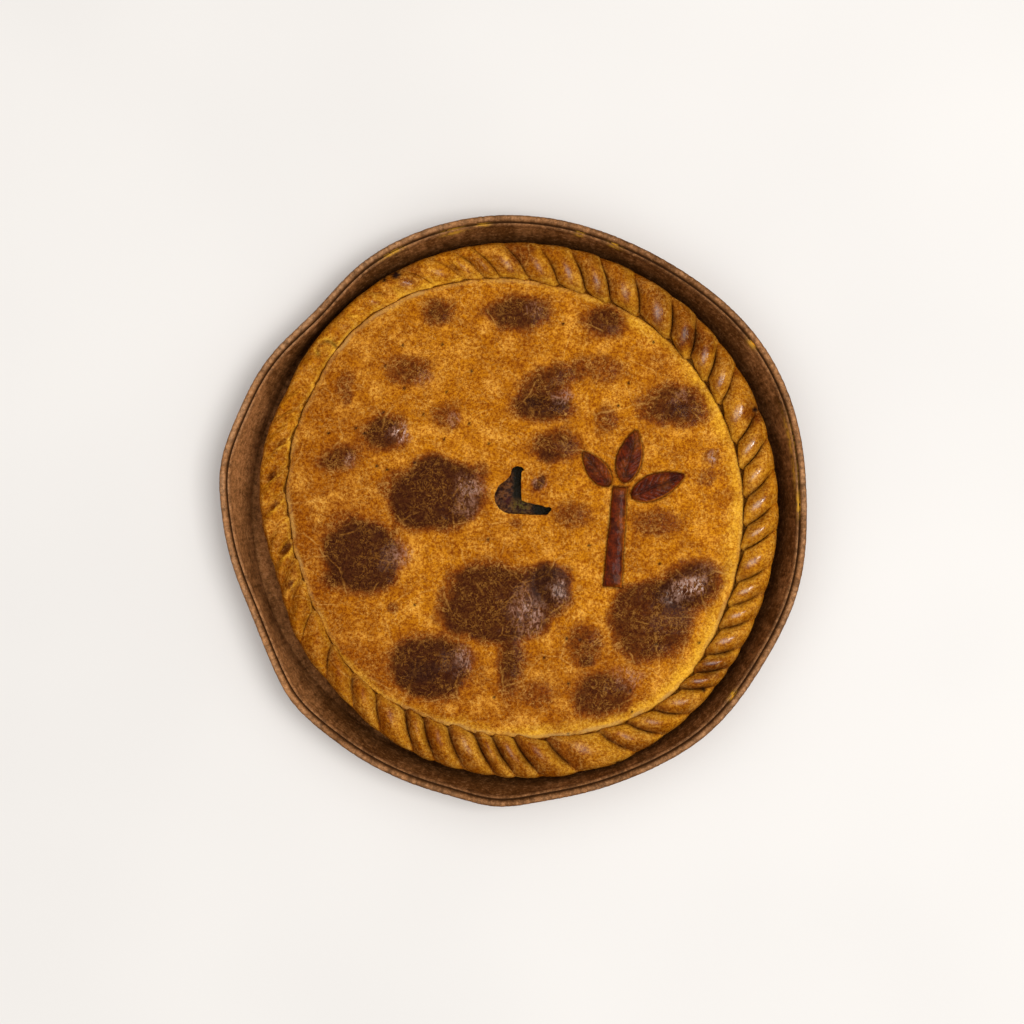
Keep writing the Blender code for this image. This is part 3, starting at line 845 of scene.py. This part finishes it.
def crust_shape():
    """The points of the crust, and the measures of its rope that its colours need."""
    start, share, number, width = (values[:, None] for values in strand_grid())
    rows = smooth_rows(CRUST_ROWS, ROPE_ROWS).T[:, None, :]
    across, offset, steep, flat, inward, upward, outward, lean, sharp, crack = rows
    random = np.random.default_rng(11).uniform(-1.0, 1.0, len(CREASES))[number]
    other = np.random.default_rng(12).uniform(0.0, 1.0, len(CREASES))[number]
    angle = start + CREASE_LEAN * lean
    groove, side = groove_radius(angle), crust_radius(angle)
    base = groove + across * (side - groove) + offset
    base = base + seam_wander(angle) * unit(1.0 - 5.0 * across)
    flatness = unit(swell(angle, 0.0, FLAT_ROPE))
    free = rope_gap(angle)
    crown = np.clip(swell(angle, TWIST_DEPTH, TWIST_CHANGES), 0.3, 3.0) * (1.0 + 0.2 * random)
    crisp = unit(swell(angle, 1.0, ((150, -0.7, 38), (195, -0.3, 14))))
    lit = -np.sin(np.radians(angle))
    lopsided = share ** (1.0 + 0.4 * lit)
    cushion = np.sin(math.pi * lopsided) ** (1.9 - 1.2 * crisp)
    valley = ROPE_VALLEY * (cushion - 1.0) * np.clip(crown / TWIST_DEPTH, 0.0, 1.3)
    tip = 1.25 * smoothstep(0.0, 0.14, share) * (1.0 - share) ** 0.8
    inner = (across < 0.2) * bell(steep, 24.4, 2.4)
    gap = inner * (0.2 + 0.8 * free) * 0.75 * smoothstep(0.62, 1.0, share)
    crease = np.minimum(share, 1.0 - share) * width
    notch = 0.45 * sharp * bell(crease, 0.0, 0.7) * crown / TWIST_DEPTH
    x = base * np.cos(np.radians(angle))
    y = base * np.sin(np.radians(angle))
    curl = curl_line(x, y) * sharp
    lumps = 0.22 * rough(angle * 2.6, steep * 1.3, 5.0, 61) * unit(upward + outward)
    wrinkles = 0.16 * noise(angle * 2.5 + across * 9.0, across * 24.0, 1.5, 62) * sharp
    closing = 0.9 * (1.0 - free) * (across < 0.05) * bell(steep, 24.9, 1.6)
    radius = base - closing + (gap - inward * tip) * crown + outward * (cushion * crown + lumps)
    rise = steep + (flat - steep) * flatness + upward * (cushion * crown + valley + lumps)
    pit, ridge = rope_pits(x, y, sharp)
    ruffle = noise(0.64 * x + 0.77 * y, 0.19 * x - 0.16 * y, 2.2, 69)
    ruffle = ruffle * swell(angle, 0.0, ((118, 1.0, 22), (178, 0.5, 22))) * sharp
    rise = rise + wrinkles - notch - 1.3 * curl - 1.5 * pit + 0.4 * ridge + 0.35 * ruffle
    points = on_circle(radius, angle, rise)
    points[:, 0, 2] = CRUST_FLOOR
    points[:, -1, 2] = CRUST_FOOT
    return points, (angle, share, across, rise, crease, sharp, crack, crown, flatness, free, crisp, lit,
                    lopsided, curl, pit, ridge, ruffle, other)


def crust_layers(x, y, measures):
    """How brown, charred, pale, glossy and amber each point of the crust is, with painted light and shade on
    the strands and painted shade in creases, pits and the crack.
    """
    (angle, share, across, rise, crease, sharp, crack, crown, flatness, free, crisp, lit,
     lopsided, curl, pit, ridge, ruffle, other) = measures
    specks = np.zeros(x.shape)
    for speck_x, speck_y, radius in ROPE_SPECKS:
        near = np.hypot(x - speck_x, y - speck_y) / radius
        specks = np.maximum(specks, fade(0.5, 1.2, near + 0.35 * noise(x, y, 1.2, 64)))
    # The flank turned to the light gets painted light, the flank turned from it painted shade
    side_share = np.where(lit > 0.0, share, 1.0 - share)
    strong = np.abs(lit) * (1.0 - flatness) * (rise > 24.0) * crisp
    lit_flank = strong * smoothstep(0.45, 0.8, side_share) * smoothstep(1.0, 0.93, side_share)
    dim_flank = strong * fade(0.0, 0.45, side_share)
    top = bell(lopsided, 0.5, 0.3) * smoothstep(26.0, 29.5, rise) * (1.0 - flatness)
    reddish = swell(angle, 0.35, ((55, 1.0, 28), (318, 0.35, 14), (265, 0.3, 20), (0, -0.3, 24)))
    tone = 0.03 + 0.36 * top * reddish * (0.4 + 0.6 * other) + 0.10 * rough(x, y, 12.0, 66)
    for patch_x, patch_y, radius, dark in ROPE_PATCHES:
        near = np.hypot(x - patch_x, y - patch_y) / radius + 0.3 * noise(x, y, 4.0, 65)
        tone = tone + dark * fade(0.4, 1.2, near)
    # Browner low on the crust's side; painted shade on the flank turned from the light and in the pits
    tone = tone + 0.35 * fade(2.0, 14.0, rise) + 0.42 * dim_flank + 0.45 * pit
    # Pale rims by the creases, a pale seam and curl; painted light on the flank turned to the light, the
    # pits' lips, the ruffles' tops and the side facing the light
    pale = 0.15 * sharp * bell(crease, 1.5, 0.8) * other + 0.25 * lit_flank + 0.45 * ridge
    pale += 0.35 * unit(ruffle) + swell(angle, 0.0, ((0, 0.12, 26),)) * (rise > 26.0)
    seam = 0.2 + swell(angle, 0.0, ((128, 0.75, 24),)) * unit(0.45 + 1.1 * noise(x, y, 5.0, 70))
    pale += seam * bell(across, 0.08, 0.08) * (rise > 24.5) + curl_line(x + 1.4, y - 1.4) * sharp
    # Painted shade in the creases, on the flank turned from the light, in the pits, the ruffles' hollows, the
    # rolled end and the crack by the lid
    fold = 0.35 * crisp * sharp * bell(crease, 0.0, 0.45)
    fold += (0.12 + 0.3 * crisp) * bell(crease, 0.0, 2.0) * fade(0.62, 0.95, across)
    fold *= unit(crisp + 0.5 + 1.2 * noise(x, y, 5.0, 68))
    fold += 0.22 * dim_flank + 0.8 * pit + 0.2 * unit(-ruffle)
    fold *= unit(crown / TWIST_DEPTH)
    fold = np.maximum(fold, unit(crack) * (0.06 + 0.7 * free))
    wet = swell(angle, 0.0, ((20, 1.0, 42), (92, 0.4, 14), (318, 0.5, 18), (262, 0.4, 16)))
    crest = bell(share, 0.48, 0.09) * bell(across, 0.36, 0.13) * (rise > 26.5)
    # Less amber at 0 degrees, as painted light on the side facing the light
    amber = swell(angle, 0.5, ((55, 0.3, 22), (0, -0.7, 26), (262, 0.3, 30), (205, 0.25, 20)))
    return {"brown": unit(tone), "wrinkled": 0.0, "burnt": specks, "pale": np.clip(pale, 0.0, 0.8),
            "cut": 0.0, "fold": unit(np.maximum(fold, 0.85 * curl)),
            "gloss": unit(1.7 * crest * (0.45 + 0.55 * other) * wet),
            "amber": unit(amber + 0.25 * rough(x, y, 16.0, 67))}


def make_crust(finish):
    """The bottom, the side and the twisted rope."""
    points, measures = crust_shape()
    crust = new_object("crust", points, ring_faces(len(points), ROPE_ROWS), CRUST_SHARP)
    paint(crust, **crust_layers(points[..., 0], points[..., 1], measures))
    dress(crust, "crust_base", finish)


def make_filling(finish):
    """The uneven filling, which shows only through the vent."""
    def edge(angle):
        return groove_radius(angle) - FILLING_INSIDE_AT_TOP

    def foot(angle):
        return groove_radius(angle) - FILLING_INSIDE_AT_FOOT

    def top(x, y):
        lumps = np.abs(noise(x, y, 4.5, 71)) * 1.3 + 0.35 * rough(x, y, 1.8, 72)
        return FILLING_TOP - 0.7 + np.clip(lumps, -0.4, 1.6)

    filling = disc_slab("filling_core", FILLING_CELLS, edge, top, CRUST_FLOOR + 0.3, foot)
    x, y, _z = places(filling)
    # Painted shade under the vent's slit and its narrow right arm
    slit = smoothstep(-1.2, 0.8, x) * smoothstep(3.5, 9.0, y)
    paint(filling, deep=np.clip(np.maximum(slit, smoothstep(9.0, 14.0, x)), 0.0, 0.95),
          green=np.exp(-((x - 4.5) / 5.0) ** 2 - ((y - 3.0) / 4.0) ** 2),
          red=0.8 * np.exp(-((x + 3.0) / 2.2) ** 2 - ((y - 6.0) / 2.2) ** 2))
    dress(filling, "filling", finish)


def turn_outward(mesh):
    """Turns the faces of a closed mesh outwards."""
    work = bmesh.new()
    work.from_mesh(mesh)
    bmesh.ops.recalc_face_normals(work, faces=work.faces)
    if work.calc_volume(signed=True) < 0.0:
        bmesh.ops.reverse_faces(work, faces=work.faces)
    work.to_mesh(mesh)
    work.free()


def sheet_faces(rows, columns):
    """The faces round a thin sheet: its upper grid of points, its lower grid after it, and the sides."""
    count = rows * columns
    index = np.arange(count).reshape(rows, columns)
    upper = np.stack((index[:-1, :-1], index[:-1, 1:], index[1:, 1:], index[1:, :-1]), axis=-1).reshape(-1, 4)
    ring = border(index)
    after = np.roll(ring, -1)
    sides = np.stack((ring, after, after + count, ring + count), axis=-1)
    return np.vstack((upper, upper[:, ::-1] + count, sides)).tolist()


def make_strip(name, foot, heading, length, half_width, thick, cells, vein, finish):
    """A dough strip or leaf that lies on the lid, closed all round."""
    turn = math.radians(heading)
    rows, columns = cells[0] + 1, cells[1] + 1
    u, v = np.meshgrid(np.linspace(-1.0, 1.0, rows), np.linspace(0.0, 1.0, columns), indexing="ij")
    width = half_width(v)
    sideways = u * width + 0.25 * noise(v * length + heading, u * 2.0, 6.0, 81)
    x = foot[0] + math.cos(turn) * length * v - math.sin(turn) * sideways
    y = foot[1] + math.sin(turn) * length * v + math.cos(turn) * sideways
    ends = np.minimum(v, 1.0 - v) * length
    rounded = np.sqrt(unit(1.0 - np.abs(u) ** 2.3)) * np.sqrt(unit(ends / 2.0))
    body = thick * (0.22 + 0.78 * rounded)
    groove = vein * np.exp(-(u * width / 0.9) ** 2) * smoothstep(0.02, 0.2, v) * smoothstep(1.0, 0.8, v)
    ribs = np.abs(np.sin((v * length - np.abs(u) * width * 1.1) / 4.2 * math.pi)) ** 6
    groove = groove + 0.45 * vein * ribs * (np.abs(u) > 0.15) * (np.abs(u) < 0.85)
    under = lid_height(x, y) + SPRIG_CLEAR
    top = np.stack((x, y, under + body - groove + 0.12 * rough(x, y, 3.0, 82)), axis=-1)
    low = np.stack((x, y, under), axis=-1)
    strip = new_object(name + "_dough", np.vstack((top.reshape(-1, 3), low.reshape(-1, 3))),
                       sheet_faces(rows, columns), STRIP_SHARP)
    turn_outward(strip.data)
    rim = np.abs(u)
    # Golden edges, the right-hand one painted lighter as painted light, and a few paler patches
    pale = 0.5 * smoothstep(0.80, 0.92, rim) * smoothstep(1.0, 0.95, rim) * (0.6 + 0.4 * np.sign(-u))
    pale = pale + 0.22 * np.clip(rough(x, y, 8.0, 83), 0, 1)
    # Painted shade in the vein and rib grooves, and a dark underside
    dark = 0.6 * unit(groove / max(vein, 0.1))
    paint(strip, pale=(pale, np.full(x.shape, 0.2)), burnt=(dark, np.full(x.shape, 0.9)))
    dress(strip, name, finish)


def make_sprig(finish):
    """The stem and its leaves."""
    stem, *leaves = sprig_strips()
    make_strip(*stem, STEM_THICK, STEM_CELLS, 0.0, finish)
    for leaf in leaves:
        make_strip(*leaf, LEAF_THICK, LEAF_CELLS, LEAF_VEIN, finish)


# Each row of the tray: whether it starts from the foot, wall or rim, how far out it lies, its height, how
# pale it is, partly as painted light, how dark its painted shade is, and how pleated
TRAY_ROWS = (
    ("foot", -4.0, TRAY_BOARD, 0, 0, 0), ("foot", -1.0, TRAY_BOARD, 0, 0.3, 0),
    ("wall", -0.3, 1.7, 0, 0.5, 0), ("wall", 0.0, 4.0, 0, 0.2, 0.1), ("wall", 0.0, 12.0, 0, 0.1, 0.1),
    ("wall", 0.0, 20.0, 0, 0, 0.15), ("wall", 0.0, 28.0, 0.0, 0, 0.3),
    ("rim", -0.9, TRAY_HEIGHT - 3.4, 0.1, 0, 0.5),
    ("rim", -0.1, TRAY_HEIGHT - 1.6, 0.5, 0, 0.6), ("rim", 0.45, TRAY_HEIGHT - 1.4, 0.5, 0.2, 0.5),
    ("rim", 0.8, TRAY_HEIGHT - 2.6, 0.0, 1.0, 0.3), ("rim", 1.3, TRAY_HEIGHT - 2.3, 0.1, 0.9, 0.5),
    ("rim", 1.9, TRAY_HEIGHT - 0.9, 0.3, 0.3, 1.0), ("rim", 3.1, TRAY_HEIGHT - 0.2, 0.9, 0, 1.0),
    ("rim", 4.4, TRAY_HEIGHT - 0.5, 0.7, 0, 1.0), ("rim", 5.3, TRAY_HEIGHT - 1.7, 0.4, 0.6, 1.0),
    ("rim", 5.0, TRAY_HEIGHT - 3.6, 0.3, 0.5, 1.0), ("rim", 3.6, TRAY_HEIGHT - 5.2, 0.4, 0.6, 0.8),
    ("rim", 1.6, TRAY_HEIGHT - 5.6, 0.2, 0.8, 0.8), ("wall", TRAY_PAPER, 24.0, 0, 0, 0.9),
    ("wall", TRAY_PAPER, 12.0, 0, 0, 0.7), ("wall", TRAY_PAPER, 4.0, 0, 0, 0.5),
    ("foot", 0.6, 0.5, 0, 0.3, 0.2), ("foot", -0.6, 0.0, 0, 0, 0))
# Spots of bright grease on the tray: angle, height, spread in degrees
TRAY_STAINS = ((1.5, 33.5, 2.2), (8, 30, 3), (15, 30, 4), (69, 31, 1.2), (76.5, 31, 0.8), (96, 34, 1.2),
               (102, 30.5, 2.2), (115, 34, 2.2), (35, 32, 1.0), (320, 32, 1.0))
# Where the tray's wall is darkened by grease and painted shade, least on the lit left, and where its rim is
# paler or darker, partly as painted light
TRAY_SOAKED = ((20, -0.2, 12), (60, 0.25, 12), (92, -0.1, 10), (172, -0.85, 22), (217, -0.5, 12),
               (125, 0.2, 12), (280, 0.2, 20), (345, -0.1, 12))
TRAY_RIM_PALE = ((150, 0.65, 34), (3, 0.5, 5), (330, 0.2, 20), (70, -0.15, 30), (262, -0.15, 25))


def tray_grease(angle, rise):
    """The bright spots of grease on the tray."""
    grease = np.zeros(rise.shape)
    for at, level, spread in TRAY_STAINS:
        spot = np.exp(-(turned_from(at, angle) / spread) ** 2) * bell(rise, level, 1.8)
        grease = np.maximum(grease, spot)
    return grease


def make_tray(finish):
    """The pressed paper tray, with its pleated wall and rolled rim."""
    angle = (360.0 * np.arange(TRAY_SECTIONS) / TRAY_SECTIONS)[:, None]
    foot = TRAY_FOOT + TRAY_FOOT_SHIFT * np.cos(np.radians(angle - TRAY_FOOT_SHIFT_ANGLE))
    rim = tray_radius(angle) - TRAY_RIM_WIDTH
    table = [(start == "foot", start == "wall", start == "rim", *rest) for start, *rest in TRAY_ROWS]
    rows = smooth_rows(table, TRAY_ROW_COUNT).T[:, None, :]
    on_foot, on_wall, on_rim, out, z, pale, fold, pleat = rows
    low, high = TRAY_BOARD, TRAY_HEIGHT - 1.2
    wall = foot + (rim - foot) * unit((z - low) / (high - low))
    arc = np.radians(angle) * TRAY_RADIUS
    ridge = noise(arc, 0.05 * z, 1.3, 91)
    crimp = np.exp(-(noise(arc, 0.02 * z, 1.9, 92) / 0.16) ** 2)
    row = np.arange(TRAY_ROW_COUNT)
    inner = row < TRAY_ROW_COUNT // 2
    seen = row < 0.72 * TRAY_ROW_COUNT
    ripple = (0.09 * ridge - 0.09 * crimp) * np.where(inner, 0.5, 1.0)
    radius = on_foot * foot + on_wall * wall + on_rim * rim + out
    radius = radius + pleat * ripple + 0.25 * on_wall * noise(arc, z, 22.0, 93)
    radius = np.minimum(radius, rim + TRAY_RIM_WIDTH)
    rise = np.clip(z + 0.8 * pleat * ripple * (on_rim > 0.5), 0.0, TRAY_HEIGHT)
    points = on_circle(radius, angle, rise)
    points[:, 0, 2] = TRAY_BOARD
    points[:, -1, 2] = 0.0
    tray = new_object("paper_tray", points, ring_faces(TRAY_SECTIONS, TRAY_ROW_COUNT), TRAY_SHARP)
    # Grease and painted shade: darker low on the wall and in the crimps, lighter on the left where the light
    # falls
    soaked = swell(angle, 0.75, TRAY_SOAKED) + 0.35 * fade(8.0, 30.0, rise) + 0.22 * ridge
    soaked = soaked + 0.30 * rough(arc, 0.5 * z, 16.0, 95) + 0.25 * crimp * (on_wall > 0.5)
    uneven = 1.0 + 0.45 * ridge + 0.35 * noise(arc, 0.0, 9.0, 96)
    # Painted shade under the rim's bead, at the foot and in the pleats' crimps
    crease = fold + 0.3 * pleat * crimp + 0.12 * (ridge < -0.3) * pleat
    paint(tray, soaked=unit(soaked) * seen + 0.3 * (1.0 - seen),
          # The rim is paler, partly as painted light on its top and its left side
          rim=unit(pale * swell(angle, 0.55, TRAY_RIM_PALE) * uneven),
          fold=unit(crease), grease=tray_grease(angle, rise) * inner)
    dress(tray, "tray", finish)


def make_floor():
    """A plain pale table."""
    bpy.ops.mesh.primitive_plane_add(size=FLOOR_SIZE, location=(0.0, 0.0, 0.0))
    floor = bpy.context.active_object
    floor.name = "table"
    shader = Shader("pale table")
    colour = shader.mix(shader.ramp(shader.noise(300.0, 2.0), 0.3, 0.7), TABLE_DIM, TABLE_PALE)
    normal = shader.bump(shader.noise(2.0), 0.02, 0.2)
    floor.data.materials.append(shader.finish(Base_Color=colour, Roughness=0.6, Normal=normal))


def make_key_light():
    """A large soft light high on the right, which looks at the part."""
    lamp = bpy.data.lights.new("key", "AREA")
    lamp.shape = "SQUARE"
    lamp.size = KEY_SIZE
    lamp.energy = KEY_WATTS
    lamp.color = KEY_COLOUR
    made = bpy.data.objects.new("key", lamp)
    made.location = KEY_PLACE
    made.rotation_euler = (-Vector(KEY_PLACE)).to_track_quat("-Z", "Y").to_euler()
    bpy.context.scene.collection.objects.link(made)


def make_room():
    """A room with a pale ceiling and darker walls."""
    world = bpy.data.worlds.new("room")
    world.use_nodes = True
    tree = world.node_tree
    place = tree.nodes.new("ShaderNodeTexCoord")
    parts = tree.nodes.new("ShaderNodeSeparateXYZ")
    height = tree.nodes.new("ShaderNodeMapRange")
    height.interpolation_type = "SMOOTHSTEP"
    height.inputs["From Min"].default_value = math.cos(math.radians(ROOM_ANGLES[1]))
    height.inputs["From Max"].default_value = math.cos(math.radians(ROOM_ANGLES[0]))
    height.inputs["To Min"].default_value = ROOM_WALLS
    height.inputs["To Max"].default_value = ROOM_OVERHEAD
    tree.links.new(place.outputs["Generated"], parts.inputs[0])
    tree.links.new(parts.outputs["Z"], height.inputs["Value"])
    tree.links.new(height.outputs["Result"], tree.nodes["Background"].inputs["Strength"])
    tree.nodes["Background"].inputs["Color"].default_value = (*ROOM_COLOUR, 1.0)
    bpy.context.scene.world = world


def make_camera():
    """The photograph's camera, straight above the table."""
    lens = bpy.data.cameras.new("camera")
    lens.lens = CAMERA_LENS
    lens.sensor_width = SENSOR
    camera = bpy.data.objects.new("camera", lens)
    camera.location = (CAMERA_OFFSET[0] * MM, CAMERA_OFFSET[1] * MM, CAMERA_HEIGHT * MM)
    bpy.context.scene.collection.objects.link(camera)
    bpy.context.scene.camera = camera


def main():
    """Builds every piece around the frame."""
    bpy.context.scene.view_settings.view_transform = "Standard"
    make_camera()
    crust = crust_material()
    make_tray(paper_material())
    make_crust(crust)
    make_filling(filling_material())
    make_lid(crust)
    make_sprig(glazed_material())
    make_floor()
    make_key_light()
    make_room()


main()
